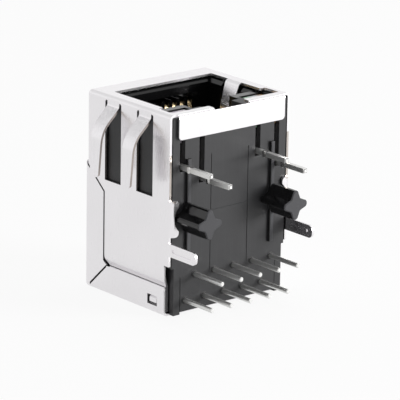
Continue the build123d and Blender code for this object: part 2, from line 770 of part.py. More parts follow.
# Magnetics case, a tray open to the cover, with square holes in its floor for the signal pins
with BuildPart() as magnetics_case:
    with BuildSketch(Plane.XY.offset(case_bottom)):
        with Locations((0, board_wall + 0.1)):
            Rectangle(
                2 * case_half_width,
                case_rim_y - board_wall - 0.1,
                align=(Align.CENTER, Align.MIN),
            )
    extrude(amount=case_top - case_bottom)
    with BuildSketch(Plane.XZ.offset(-case_floor_y)):
        with Locations((0, case_bottom + case_wall)):
            Rectangle(
                2 * (case_half_width - case_wall),
                case_top - case_bottom - 2 * case_wall,
                align=(Align.CENTER, Align.MIN),
            )
    extrude(amount=-cover_y, mode=Mode.SUBTRACT)
    with BuildSketch(Plane.XZ):
        with Locations(*pin_places):
            Rectangle(pin_shank + 2 * pin_gap, pin_shank + 2 * pin_gap)
    extrude(amount=-cover_y, mode=Mode.SUBTRACT)
magnetics_case.part.label = "magnetics_case"
export_step(magnetics_case.part, "parts/magnetics_case.step")

# Ten round signal pins with a square shank where the case holds them
for number, (pin_x, pin_z) in enumerate(pin_places):
    with BuildPart() as signal_pin:
        with BuildSketch(Plane.XZ):
            with Locations((pin_x, pin_z)):
                Rectangle(pin_shank, pin_shank)
        extrude(amount=-pin_post_y)
        with BuildSketch(Plane.XZ):
            with Locations((pin_x, pin_z)):
                Circle(pin_radius)
        extrude(amount=-pin_tip_y)
        pin_end = signal_pin.faces().sort_by(Axis.Y)[0]
        chamfer(pin_end.edges(), length=pin_tip_corner)
    signal_pin.part.label = f"signal_pin_{number + 1}"
    export_step(signal_pin.part, f"parts/signal_pin_{number + 1}.step")

# Wound ring cores on the case floor: chokes below, transformers on top of them
for name, core_y in (("choke", choke_y), ("transformer", transformer_y)):
    for number in range(core_count):
        core_x = (number - (core_count - 1) / 2) * core_pitch
        core_plane = Plane((core_x, core_y, core_z), x_dir=(1, 0, 0), z_dir=(0, -1, 0))
        with BuildPart() as core:
            with BuildSketch(core_plane):
                RegularPolygon(core_radius, ring_corners)
                RegularPolygon(core_bore_radius, ring_corners, mode=Mode.SUBTRACT)
            extrude(amount=core_thickness / 2, both=True)
        core.part.label = f"{name}_core_{number + 1}"
        export_step(core.part, f"parts/{name}_core_{number + 1}.step")
        with BuildPart() as winding:
            with BuildSketch(core_plane):
                RegularPolygon(core_radius + winding_gap + winding_thickness, ring_corners)
                RegularPolygon(
                    core_bore_radius - winding_gap - winding_thickness,
                    ring_corners,
                    mode=Mode.SUBTRACT,
                )
            extrude(amount=core_thickness / 2 + winding_gap + winding_thickness, both=True)
            with BuildSketch(core_plane):
                RegularPolygon(core_radius + winding_gap, ring_corners)
                RegularPolygon(core_bore_radius - winding_gap, ring_corners, mode=Mode.SUBTRACT)
            extrude(amount=core_thickness / 2 + winding_gap, both=True, mode=Mode.SUBTRACT)
            # The ends of the winding stand apart
            with BuildSketch(core_plane):
                Rectangle(winding_radius / 2, 2 * winding_radius, align=(Align.CENTER, Align.MIN))
            extrude(amount=core_thickness, both=True, mode=Mode.SUBTRACT)
        winding.part.label = f"{name}_winding_{number + 1}"
        export_step(winding.part, f"parts/{name}_winding_{number + 1}.step")

# Four termination resistors and one capacitor under the inner board
for number in range(resistor_count):
    resistor_x = (number - (resistor_count - 1) / 2) * resistor_pitch
    with BuildPart() as resistor:
        with BuildSketch(Plane.XZ.offset(-inner_board_y)):
            with Locations((resistor_x, resistor_z)):
                Rectangle(resistor_width, resistor_length)
        extrude(amount=resistor_height)
    resistor.part.label = f"resistor_{number + 1}"
    export_step(resistor.part, f"parts/resistor_{number + 1}.step")
with BuildPart() as capacitor:
    with BuildSketch(Plane.XZ.offset(-inner_board_y)):
        with Locations((0, capacitor_z)):
            Rectangle(capacitor_width, capacitor_length)
    extrude(amount=capacitor_height)
    chamfer(capacitor.faces().sort_by(Axis.Y)[0].edges(), length=capacitor_corner)
capacitor.part.label = "capacitor"
export_step(capacitor.part, "parts/capacitor.step")

# Light lenses and their square leads, two to a lens, one bent down nearer the port than the other
for name, side in (("left", -1), ("right", 1)):
    with BuildPart() as light_lens:
        with BuildSketch(Plane.XY.offset(lens_front)):
            with Locations((side * lens_x, lens_bottom_y)):
                Rectangle(lens_width, lens_height, align=(Align.CENTER, Align.MIN))
        extrude(amount=-lens_length)
        chamfer(light_lens.faces().sort_by(Axis.Z)[-1].edges(), length=lens_corner)
    light_lens.part.label = f"light_lens_{name}"
    export_step(light_lens.part, f"parts/light_lens_{name}.step")
    for number, lead in ((1, -1), (2, 1)):
        lead_x = side * lead_pair_x + lead * lead_spacing / 2
        lead_z = lead_high_z - lead_row_spacing * (lead + 1) / 2
        with BuildPart() as light_lead:
            with BuildSketch(Plane.YZ.offset(lead_x)):
                with BuildLine():
                    FilletPolyline(
                        (lead_y, lens_front - lens_length),
                        (lead_y, lead_z),
                        (lead_tip_y, lead_z),
                        radius=lead_bend,
                    )
                trace(line_width=lead_size)
            extrude(amount=lead_size / 2, both=True)
            chamfer(light_lead.faces().sort_by(Axis.Y)[0].edges(), length=lead_tip_corner)
        light_lead.part.label = f"light_lead_{name}_{number}"
        export_step(light_lead.part, f"parts/light_lead_{name}_{number}.step")
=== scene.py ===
"""Looks of a shielded network jack that stands on its rear wall, port upwards.

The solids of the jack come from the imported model. This file gives each of them its finish, adds the
small things that the solids leave out, and sets the studio and the camera of the photograph.
"""
import logging
import math
from dataclasses import dataclass
from enum import Enum
from typing import Optional, Union

import bpy
from mathutils import Matrix, Vector


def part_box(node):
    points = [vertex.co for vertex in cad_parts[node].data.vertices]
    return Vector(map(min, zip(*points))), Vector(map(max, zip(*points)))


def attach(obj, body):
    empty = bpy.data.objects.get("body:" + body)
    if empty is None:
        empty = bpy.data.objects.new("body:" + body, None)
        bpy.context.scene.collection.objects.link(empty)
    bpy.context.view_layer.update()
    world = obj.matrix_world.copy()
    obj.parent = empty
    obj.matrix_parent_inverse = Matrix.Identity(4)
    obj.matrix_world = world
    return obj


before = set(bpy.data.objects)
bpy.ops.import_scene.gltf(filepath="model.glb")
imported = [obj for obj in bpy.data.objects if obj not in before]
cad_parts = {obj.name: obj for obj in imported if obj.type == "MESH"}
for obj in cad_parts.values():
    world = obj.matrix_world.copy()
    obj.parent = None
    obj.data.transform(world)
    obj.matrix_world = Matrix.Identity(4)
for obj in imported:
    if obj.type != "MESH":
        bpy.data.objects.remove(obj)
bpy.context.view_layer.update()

MM = 0.001
WELD = 0.002 * MM
SAME_LEVEL = 0.001 * MM
SMOOTH_BELOW = math.radians(35)
# Most of a noise texture's values lie between these two
NOISE_LOW, NOISE_HIGH = 0.3, 0.7
# The wave texture runs through so many radians of its sine in one unit of its scale
WAVE_RADIANS = 20
WHITE = (1, 1, 1, 1)
LOG = logging.getLogger("jack")
SIDES = ("left", "right")
Span = tuple[float, float]
Triple = tuple[float, float, float]
Links = dict[Union[str, int], bpy.types.NodeSocket]
Values = dict[Union[str, int], object]


def linear(hex_colour: str) -> tuple[float, float, float, float]:
    """Turns an sRGB hex colour into the linear colour that the shaders take.

    Args:
        hex_colour: six hex digits after a hash sign.

    Returns:
        Red, green, blue and an alpha of 1.
    """
    parts = [int(hex_colour[i : i + 2], 16) / 255 for i in (1, 3, 5)]
    red, green, blue = (c / 12.92 if c <= 0.04045 else ((c + 0.055) / 1.055) ** 2.4 for c in parts)
    return red, green, blue, 1.0


def add_node(
    tree: bpy.types.NodeTree,
    kind: str,
    links: Optional[Links] = None,
    values: Optional[Values] = None,
    **settings: object,
) -> bpy.types.Node:
    """Adds one node with its settings, its unlinked values and its incoming links.

    Args:
        tree: the node tree.
        kind: the node's class name.
        links: input name or number to the socket that feeds it.
        values: input name or number to its fixed value.
        settings: attributes of the node itself.

    Returns:
        The new node.
    """
    node = tree.nodes.new(kind)
    for name, value in settings.items():
        setattr(node, name, value)
    for key, value in (values or {}).items():
        node.inputs[key].default_value = value
    for key, socket in (links or {}).items():
        tree.links.new(socket, node.inputs[key])
    return node


def new_material(
    name: str,
    values: Values,
) -> tuple[bpy.types.NodeTree, bpy.types.Node, bpy.types.NodeSocket]:
    """Makes a material with a shader on its output and the object's own coordinates beside it.

    Args:
        name: the finish's name.
        values: what is the same all over the surface, by the shader's input name.

    Returns:
        The material's tree, its shader node and the socket of its coordinates.
    """
    material = bpy.data.materials.new(name)
    material.use_nodes = True
    tree = material.node_tree
    tree.nodes.clear()
    shader = add_node(tree, "ShaderNodeBsdfPrincipled", values=values)
    add_node(tree, "ShaderNodeOutputMaterial", {"Surface": shader.outputs[0]})
    return tree, shader, add_node(tree, "ShaderNodeTexCoord").outputs["Object"]


@dataclass(frozen=True)
class PlatedSheet:
    """Nickel-plated copper alloy sheet, rolled, stamped and folded.

    Rolling leaves a faint grain along the strip and the plating is satin, so reflections are soft
    and the colour is a neutral light grey. The tool draws the metal at the fingers' roots, where
    the grain opens and shows as fine streaks. The streaks are also painted darker towards the roots,
    as painted shade where the fingers' upper parts mirror a greyer sky. Blanking shears the edges
    after the plating, so the fingers' edges show the bare alloy as a thin brownish line.
    """

    name: str = "nickel_plated_sheet"
    colour: str = "#F2F0F2"
    shade: str = "#ECEAEC"
    opened_grain_and_shade: str = "#CAC8CB"
    bare: str = "#BCB4AE"
    roughness: Span = (0.24, 0.28)
    cloud_mm: float = 5.0
    grain_mm: float = 0.10
    grain_stretch: float = 30.0
    grain_rise_mm: float = 0.002
    streaks: Span = (0.42, 0.62)
    wall_mm: float = 7.93
    clear_mm: float = 0.04
    beside_mm: float = 0.6
    cover_mm: float = 13.78
    seam_mm: Span = (12.2, 17.1)
    drawn_and_shaded_mm: Span = (17.4, 20.6)
    edge_facing: float = -0.8

    def build(self) -> bpy.types.Material:
        """Builds the finish from its rolling grain, slow changes of tone, painted shade towards the
        fingers' roots and bare finger edges.

        Returns:
            The material.
        """
        tree, shader, place = new_material(self.name, {"Metallic": 1.0})
        # The grain is a tenth of a millimetre across and runs thirty times that along the strip
        across = 1 / (self.grain_mm * MM)
        strip = add_node(
            tree,
            "ShaderNodeMapping",
            {"Vector": place},
            {"Scale": (across, across, across / self.grain_stretch)},
        )
        grain = add_node(
            tree,
            "ShaderNodeTexNoise",
            {"Vector": strip.outputs[0]},
            {"Scale": 1.0, "Detail": 3.0, "Roughness": 0.6},
        )
        cloud = add_node(
            tree,
            "ShaderNodeTexNoise",
            {"Vector": place},
            {"Scale": 1 / (self.cloud_mm * MM), "Detail": 1.0},
        )
        plated = add_node(
            tree,
            "ShaderNodeMix",
            {0: cloud.outputs["Fac"]},
            {6: linear(self.shade), 7: linear(self.colour)},
            data_type="RGBA",
        )
        outside, sheared = self._fingers_and_edges(tree, place)
        spot = add_node(tree, "ShaderNodeSeparateXYZ", {0: place})
        low, high = self.drawn_and_shaded_mm
        root = add_node(
            tree,
            "ShaderNodeMapRange",
            {"Value": spot.outputs[2]},
            {"From Min": low * MM, "From Max": high * MM, "To Min": 0.1, "To Max": 1.0},
        )
        # The drawn mask sets the grain's bump, and also painted shade that darkens the fingers'
        # streaks towards their roots
        drawn = add_node(
            tree,
            "ShaderNodeMath",
            {0: root.outputs[0], 1: outside},
            operation="MULTIPLY",
        )
        streak = add_node(
            tree,
            "ShaderNodeMapRange",
            {"Value": grain.outputs["Fac"]},
            {"From Min": self.streaks[0], "From Max": self.streaks[1]},
        )
        grain_and_shade = add_node(
            tree,
            "ShaderNodeMath",
            {0: streak.outputs[0], 1: drawn.outputs[0]},
            operation="MULTIPLY",
        )
        streaked_and_shaded = add_node(
            tree,
            "ShaderNodeMix",
            {0: grain_and_shade.outputs[0], 6: plated.outputs[2]},
            {7: linear(self.opened_grain_and_shade)},
            data_type="RGBA",
        )
        tint = add_node(
            tree,
            "ShaderNodeMix",
            {0: sheared, 6: streaked_and_shaded.outputs[2]},
            {7: linear(self.bare)},
            data_type="RGBA",
        )
        smooth, dull = self.roughness
        rough = add_node(
            tree,
            "ShaderNodeMapRange",
            {"Value": grain.outputs["Fac"]},
            {"From Min": NOISE_LOW, "From Max": NOISE_HIGH, "To Min": smooth, "To Max": dull},
        )
        bump = add_node(
            tree,
            "ShaderNodeBump",
            {"Height": grain.outputs["Fac"], "Strength": drawn.outputs[0]},
            {"Distance": self.grain_rise_mm * MM},
        )
        tree.links.new(tint.outputs[2], shader.inputs["Base Color"])
        tree.links.new(rough.outputs[0], shader.inputs["Roughness"])
        tree.links.new(bump.outputs[0], shader.inputs["Normal"])
        return bpy.data.materials[self.name]

    def _fingers_and_edges(
        self,
        tree: bpy.types.NodeTree,
        place: bpy.types.NodeSocket,
    ) -> tuple[bpy.types.NodeSocket, bpy.types.NodeSocket]:
        """Finds the fingers that stand out of the box, and the sheared edges.

        Args:
            tree: the material's tree.
            place: the socket of its coordinates.

        Returns:
            A socket that is 1 on the fingers, and one that is 1 on the sheared edges of the
            fingers and of the walls beside the port's flap.
        """
        spot = add_node(tree, "ShaderNodeSeparateXYZ", {0: place})
        shape = add_node(tree, "ShaderNodeNewGeometry")
        facing = add_node(tree, "ShaderNodeSeparateXYZ", {0: shape.outputs["True Normal"]})
        reach = add_node(tree, "ShaderNodeMath", {0: spot.outputs[0]}, operation="ABSOLUTE")
        low, high = self.seam_mm
        tests = (
            (reach.outputs[0], (self.wall_mm + self.clear_mm) * MM, "GREATER_THAN"),
            (spot.outputs[1], self.cover_mm * MM, "GREATER_THAN"),
            (reach.outputs[0], (self.wall_mm - self.beside_mm) * MM, "GREATER_THAN"),
            (spot.outputs[2], low * MM, "GREATER_THAN"),
            (spot.outputs[2], high * MM, "LESS_THAN"),
            (facing.outputs[1], self.edge_facing, "LESS_THAN"),
        )
        side, over, beside, above, below, front = (
            add_node(tree, "ShaderNodeMath", {0: socket}, {1: limit}, operation=test).outputs[0]
            for socket, limit, test in tests
        )
        finger = add_node(tree, "ShaderNodeMath", {0: side, 1: over}, operation="MAXIMUM")
        edge = above
        steps = ((below, "MULTIPLY"), (beside, "MULTIPLY"), (side, "MAXIMUM"), (front, "MULTIPLY"))
        for other, step in steps:
            edge = add_node(tree, "ShaderNodeMath", {0: edge, 1: other}, operation=step).outputs[0]
        return finger.outputs[0], edge


@dataclass(frozen=True)
class MouldedPlastic:
    """Glass-filled black thermoplastic, injection moulded in a spark-eroded tool.

    The outer faces are a dark satin grey with a very fine grain. The core that forms the port and
    the pockets that form the pegs are polished, and the resin closes over the glass fibres there,
    so those walls are smoother; their colour is also painted a deeper black, as painted shade inside
    the port and on the pegs' sides. The ejectors leave the pegs' tips rougher, and the tips' colour
    is painted paler, as painted light on the pegs' end faces. Release from the tool drags faint
    upright lines over the board face.
    """

    name: str = "black_thermoplastic"
    colour: str = "#1D1D1F"
    mottle: str = "#262628"
    # Painted shade: the colour of the port's walls and the pegs' sides
    skin_and_shade: str = "#111112"
    # Painted light: the colour of the pegs' end faces
    painted_lit_tip: str = "#38383B"
    roughness: Span = (0.39, 0.51)
    polished: float = 0.16
    ejected: float = 0.62
    cloud_mm: float = 1.4
    drag_mm: float = 0.16
    drag_stretch: float = 60.0
    drag_lines: Span = (0.56, 0.74)
    grit_mm: float = 0.09
    grit_rise_mm: float = 0.012
    grit_depth: Span = (0.22, 0.03)
    port_mm: float = 9.4
    port_side_mm: float = 6.9
    port_floor_mm: float = 2.9
    peg_root_mm: float = 0.1
    tip_facing: float = -0.7

    def build(self) -> bpy.types.Material:
        """Builds the finish from spark-eroded grain, fine mottling, polished port, painted shade and
        painted light.

        Returns:
            The material.
        """
        tree, shader, place = new_material(self.name, {"IOR": 1.5})
        # Sparks leave pits about a tenth of a millimetre across
        grit = add_node(
            tree,
            "ShaderNodeTexNoise",
            {"Vector": place},
            {"Scale": 1 / (self.grit_mm * MM), "Detail": 3.0, "Roughness": 0.6},
        )
        cloud = add_node(
            tree,
            "ShaderNodeTexNoise",
            {"Vector": place},
            {"Scale": 1 / (self.cloud_mm * MM), "Detail": 2.0},
        )
        # The drag lines are drawn some three times as wide as they are, so that they show
        across = 1 / (self.drag_mm * MM)
        drawn = add_node(
            tree,
            "ShaderNodeMapping",
            {"Vector": place},
            {"Scale": (across, across, across / self.drag_stretch)},
        )
        drag = add_node(
            tree,
            "ShaderNodeTexNoise",
            {"Vector": drawn.outputs[0]},
            {"Scale": 1.0, "Detail": 2.0},
        )
        line = add_node(
            tree,
            "ShaderNodeMapRange",
            {"Value": drag.outputs["Fac"]},
            {"From Min": self.drag_lines[0], "From Max": self.drag_lines[1]},
        )
        blend = add_node(
            tree,
            "ShaderNodeMath",
            {0: cloud.outputs["Fac"], 1: line.outputs[0]},
            operation="ADD",
        )
        inside, rough_lit_tip = self._polished_shaded_walls_and_lit_tips(tree, place)
        tint = add_node(
            tree,
            "ShaderNodeMix",
            {0: blend.outputs[0]},
            {6: linear(self.colour), 7: linear(self.mottle)},
            data_type="RGBA",
        )
        # Painted shade darkens the port's walls and the pegs' sides, and painted light makes the
        # pegs' end faces paler
        for share, colour in ((inside, self.skin_and_shade), (rough_lit_tip, self.painted_lit_tip)):
            tint = add_node(
                tree,
                "ShaderNodeMix",
                {0: share, 6: tint.outputs[2]},
                {7: linear(colour)},
                data_type="RGBA",
            )
        smooth, dull = self.roughness
        rough = add_node(
            tree,
            "ShaderNodeMapRange",
            {"Value": grit.outputs["Fac"]},
            {"From Min": NOISE_LOW, "From Max": NOISE_HIGH, "To Min": smooth, "To Max": dull},
        )
        for share, level in ((inside, self.polished), (rough_lit_tip, self.ejected)):
            rough = add_node(
                tree,
                "ShaderNodeMix",
                {0: share, 2: rough.outputs[0]},
                {3: level},
                data_type="FLOAT",
            )
        depth = add_node(
            tree,
            "ShaderNodeMapRange",
            {"Value": inside},
            {"To Min": self.grit_depth[0], "To Max": self.grit_depth[1]},
        )
        bump = add_node(
            tree,
            "ShaderNodeBump",
            {"Height": grit.outputs["Fac"], "Strength": depth.outputs[0]},
            {"Distance": self.grit_rise_mm * MM},
        )
        tree.links.new(tint.outputs[2], shader.inputs["Base Color"])
        tree.links.new(rough.outputs[0], shader.inputs["Roughness"])
        tree.links.new(bump.outputs[0], shader.inputs["Normal"])
        return bpy.data.materials[self.name]

    def _polished_shaded_walls_and_lit_tips(
        self,
        tree: bpy.types.NodeTree,
        place: bpy.types.NodeSocket,
    ) -> tuple[bpy.types.NodeSocket, bpy.types.NodeSocket]:
        """Finds the walls inside the port with the sides of the pegs, and the pegs' tips.

        Args:
            tree: the material's tree.
            place: the socket of its coordinates.

        Returns:
            A socket that is 1 on those walls, which are polished and painted with shade, and one that
            is 1 on the tips, which are rougher and painted with light.
        """
        spot = add_node(tree, "ShaderNodeSeparateXYZ", {0: place})
        shape = add_node(tree, "ShaderNodeNewGeometry")
        facing = add_node(tree, "ShaderNodeSeparateXYZ", {0: shape.outputs["True Normal"]})
        reach = add_node(tree, "ShaderNodeMath", {0: spot.outputs[0]}, operation="ABSOLUTE")
        tests = (
            (reach.outputs[0], self.port_side_mm * MM, "LESS_THAN"),
            (spot.outputs[1], self.port_floor_mm * MM, "GREATER_THAN"),
            (spot.outputs[2], self.port_mm * MM, "GREATER_THAN"),
            (spot.outputs[1], -self.peg_root_mm * MM, "LESS_THAN"),
            (facing.outputs[1], self.tip_facing, "GREATER_THAN"),
            (facing.outputs[1], self.tip_facing, "LESS_THAN"),
        )
        within, over_floor, above, on_peg, side_face, end_face = (
            add_node(tree, "ShaderNodeMath", {0: socket}, {1: limit}, operation=test).outputs[0]
            for socket, limit, test in tests
        )
        low_port, peg, rough_lit_tip = (
            add_node(tree, "ShaderNodeMath", {0: one, 1: two}, operation="MULTIPLY").outputs[0]
            for one, two in ((within, over_floor), (on_peg, side_face), (on_peg, end_face))
        )
        port = add_node(tree, "ShaderNodeMath", {0: low_port, 1: above}, operation="MULTIPLY")
        wall = add_node(tree, "ShaderNodeMath", {0: port.outputs[0], 1: peg}, operation="MAXIMUM")
        return wall.outputs[0], rough_lit_tip


@dataclass(frozen=True)
class PlatedWire:
    """Drawn wire with a plated skin: tin on the pins and leads, gold on the contacts.

    The skin is a little uneven, and a dipped one has runs along the wire, so the glints break up.
    The signal pins' ends are painted near-white, as a painted glint.
    """

    name: str
    colour: str
    shade: str
    roughness: Span
    unevenness: float
    grain_mm: float = 0.2
    run_mm: float = 0.16
    run_stretch: float = 5.0
    run_rise_mm: float = 0.03
    painted_glint: str = "#F2F1EF"
    painted_glint_mm: Optional[Span] = None

    def build(self) -> bpy.types.Material:
        """Builds the finish from its slightly uneven plating, and a painted glint at the pins' ends
        where one is given.

        Returns:
            The material.
        """
        tree, shader, place = new_material(self.name, {"Metallic": 1.0})
        skin_and_shade = add_node(
            tree,
            "ShaderNodeTexNoise",
            {"Vector": place},
            {"Scale": 1 / (self.grain_mm * MM), "Detail": 2.0, "Roughness": 0.55},
        )
        tint = add_node(
            tree,
            "ShaderNodeMix",
            {0: skin_and_shade.outputs["Fac"]},
            {6: linear(self.shade), 7: linear(self.colour)},
            data_type="RGBA",
        )
        # Painted glint: the colour turns near-white towards the pins' ends
        if self.painted_glint_mm is not None:
            start, end = self.painted_glint_mm
            spot = add_node(tree, "ShaderNodeSeparateXYZ", {0: place})
            dipped = add_node(
                tree,
                "ShaderNodeMapRange",
                {"Value": spot.outputs[1]},
                {"From Min": start * MM, "From Max": end * MM},
            )
            tint = add_node(
                tree,
                "ShaderNodeMix",
                {0: dipped.outputs[0], 6: tint.outputs[2]},
                {7: linear(self.painted_glint)},
                data_type="RGBA",
            )
        smooth, dull = self.roughness
        rough = add_node(
            tree,
            "ShaderNodeMapRange",
            {"Value": skin_and_shade.outputs["Fac"]},
            {"From Min": NOISE_LOW, "From Max": NOISE_HIGH, "To Min": smooth, "To Max": dull},
        )
        across = 1 / (self.run_mm * MM)
        along = add_node(
            tree,
            "ShaderNodeMapping",
            {"Vector": place},
            {"Scale": (across, across / self.run_stretch, across)},
        )
        runs = add_node(
            tree,
            "ShaderNodeTexNoise",
            {"Vector": along.outputs[0]},
            {"Scale": 1.0, "Detail": 1.0},
        )
        bump = add_node(
            tree,
            "ShaderNodeBump",
            {"Height": runs.outputs["Fac"]},
            {"Strength": self.unevenness, "Distance": self.run_rise_mm * MM},
        )
        tree.links.new(tint.outputs[2], shader.inputs["Base Color"])
        tree.links.new(rough.outputs[0], shader.inputs["Roughness"])
        tree.links.new(bump.outputs[0], shader.inputs["Normal"])
        return bpy.data.materials[self.name]


@dataclass(frozen=True)
class WoundWire:
    """Enamelled copper wire, wound turn by turn round a ring core.

    The turns lie side by side, a fifth of a millimetre apart, and the enamel gives a reddish gloss.
    The valleys between the turns are painted darker, as painted shade.
    """

    name: str = "enamelled_copper"
    colour: str = "#C4703A"
    valley_shade: str = "#7A3A18"
    roughness: Span = (0.5, 0.25)
    turn_mm: float = 0.2
    turn_rise_mm: float = 0.05

    def build(self) -> bpy.types.Material:
        """Builds the finish from the bands of its turns.

        Returns:
            The material.
        """
        tree, shader, place = new_material(self.name, {"Metallic": 1.0})
        # The bands are drawn some six times as wide as the turns, so that they show
        turns = add_node(
            tree,
            "ShaderNodeTexWave",
            {"Vector": place},
            {"Scale": 1 / (self.turn_mm * MM) / WAVE_RADIANS, "Distortion": 0.6},
            bands_direction="X",
        )
        # Painted shade darkens the valleys between the turns
        tint = add_node(
            tree,
            "ShaderNodeMix",
            {0: turns.outputs["Fac"]},
            {6: linear(self.valley_shade), 7: linear(self.colour)},
            data_type="RGBA",
        )
        rough = add_node(
            tree,
            "ShaderNodeMapRange",
            {"Value": turns.outputs["Fac"]},
            {"To Min": self.roughness[0], "To Max": self.roughness[1]},
        )
        bump = add_node(
            tree,
            "ShaderNodeBump",
            {"Height": turns.outputs["Fac"]},
            {"Strength": 0.6, "Distance": self.turn_rise_mm * MM},
        )
        tree.links.new(tint.outputs[2], shader.inputs["Base Color"])
        tree.links.new(rough.outputs[0], shader.inputs["Roughness"])
        tree.links.new(bump.outputs[0], shader.inputs["Normal"])
        return bpy.data.materials[self.name]


@dataclass(frozen=True)
class CastResin:
    """Milky epoxy, cast round a lamp's chips.

    The resin is clear enough to show the chips near its face and scatters much of the light, so it
    looks pale, with tiny flow marks on the face. Its colour runs across the lens through faint tints,
    as painted reflection of colours mirrored in the resin.
    """

    name: str
    reflection_tints: tuple[str, str, str]
    span_mm: Span
    middle: float = 0.45
    clear: float = 0.35
    roughness: Span = (0.10, 0.20)
    flow_mm: float = 0.9

    def build(self) -> bpy.types.Material:
        """Builds the finish from a passing and a scattering share, tinted across the lens with
        painted reflection.

        Returns:
            The material.
        """
        values = {"IOR": 1.52, "Transmission Weight": self.clear}
        tree, shader, place = new_material(self.name, values)
        spot = add_node(tree, "ShaderNodeSeparateXYZ", {0: place})
        start, end = self.span_mm
        across = add_node(
            tree,
            "ShaderNodeMapRange",
            {"Value": spot.outputs[0]},
            {"From Min": start * MM, "From Max": end * MM},
        )
        # Painted reflection: the colour changes across the lens from one tint to the next
        blend = add_node(tree, "ShaderNodeValToRGB", {0: across.outputs[0]})
        stops = blend.color_ramp.elements
        stops.new(self.middle)
        for stop, tint in zip(stops, self.reflection_tints):
            stop.color = linear(tint)
        flow = add_node(
            tree,
            "ShaderNodeTexNoise",
            {"Vector": place},
            {"Scale": 1 / (self.flow_mm * MM), "Detail": 1.0},
        )
        smooth, dull = self.roughness
        rough = add_node(
            tree,
            "ShaderNodeMapRange",
            {"Value": flow.outputs["Fac"]},
            {"From Min": NOISE_LOW, "From Max": NOISE_HIGH, "To Min": smooth, "To Max": dull},
        )
        tree.links.new(blend.outputs[0], shader.inputs["Base Color"])
        tree.links.new(rough.outputs[0], shader.inputs["Roughness"])
        return bpy.data.materials[self.name]


@dataclass(frozen=True)
class SpeckledBody:
    """Fired, pressed or coated body with a fine even speckle: ferrite, ceramic, laminate or chip.

    The speckle breaks up a flat colour that has little gloss of its own.
    """

    name: str
    colour: str
    speck: str
    roughness: float
    grain_mm: float

    def build(self) -> bpy.types.Material:
        """Builds the finish from its speckle.

        Returns:
            The material.
        """
        tree, shader, place = new_material(self.name, {"Roughness": self.roughness})
        grain = add_node(
            tree,
            "ShaderNodeTexNoise",
            {"Vector": place},
            {"Scale": 1 / (self.grain_mm * MM), "Detail": 3.0},
        )
        spread = add_node(
            tree,
            "ShaderNodeMapRange",
            {"Value": grain.outputs["Fac"]},
            {"From Min": 0.4, "From Max": 0.6},
        )
        tint = add_node(
            tree,
            "ShaderNodeMix",
            {0: spread.outputs[0]},
            {6: linear(self.colour), 7: linear(self.speck)},
            data_type="RGBA",
        )
        tree.links.new(tint.outputs[2], shader.inputs["Base Color"])
        return bpy.data.materials[self.name]


class Finish(Enum):
    """The finishes of the jack's pieces."""

    SHEET = PlatedSheet()
    PLASTIC = MouldedPlastic()
    # Tin's colour is painted dark, as painted reflection of the black moulding beside it, and
    # near-white at the pins' ends, as a painted glint
    TIN = PlatedWire(
        "tinned_wire",
        "#63615F",
        "#403F3E",
        (0.05, 0.17),
        0.06,
        painted_glint_mm=(-2.5, -2.85),
    )
    # Silver stays pale under the milky resin
    PLATE = PlatedWire("silvered_plate", "#DEDDDB", "#C2C1BF", (0.16, 0.28), 0.06)
    # Solder sets in runs, and its colour is painted near-white and dark grey side by side, as painted
    # glints and painted shade
    SOLDER = PlatedWire(
        "dipped_solder",
        "#F4F3F1",
        "#4E4C4A",
        (0.05, 0.17),
        0.9,
        grain_mm=0.14,
        run_mm=0.11,
    )
    # A thin gold flash over nickel looks pale and soft
    GOLD = PlatedWire("gold_plated_wire", "#F6E2BC", "#E6C48C", (0.18, 0.30), 0.1)
    # The sealing resin is duller than the moulding, and its colour is painted darker, as painted
    # shade round each pin's root, so each pin stands in a dark ring
    SEAL = SpeckledBody("potting_resin", "#0B0B0C", "#121213", 0.6, 0.25)
    # Painted reflection across each lens: lavender on the left, green, blue-white and amber on the
    # right
    LENS_LEFT = CastResin("lamp_resin_left", ("#F2EEF2", "#E4D3E6", "#F4F0F4"), (-6.6, -3.7))
    LENS_RIGHT = CastResin("lamp_resin_right", ("#A9D8B4", "#EEF2FA", "#E9B36A"), (4.3, 6.5))
    # The two chips are the only strong colours, green and amber through the resin
    GREEN_CHIP = SpeckledBody("green_lamp_chip", "#4E9A2E", "#7FBF4A", 0.35, 0.08)
    AMBER_CHIP = SpeckledBody("amber_lamp_chip", "#D98A1F", "#F0B04A", 0.35, 0.08)
    # Hidden: solder mask over glass cloth, dull iron oxide, enamel, black glaze and fired clay
    LAMINATE = SpeckledBody("green_laminate", "#1F5A35", "#2B6E43", 0.35, 0.3)
    FERRITE = SpeckledBody("sintered_ferrite", "#2B2B2D", "#3A3A3C", 0.6, 0.12)
    ENAMEL = WoundWire()
    RESISTOR = SpeckledBody("glazed_resistor", "#1C1C1E", "#29292B", 0.3, 0.2)
    CAPACITOR = SpeckledBody("fired_ceramic", "#A8835A", "#B9966C", 0.55, 0.1)


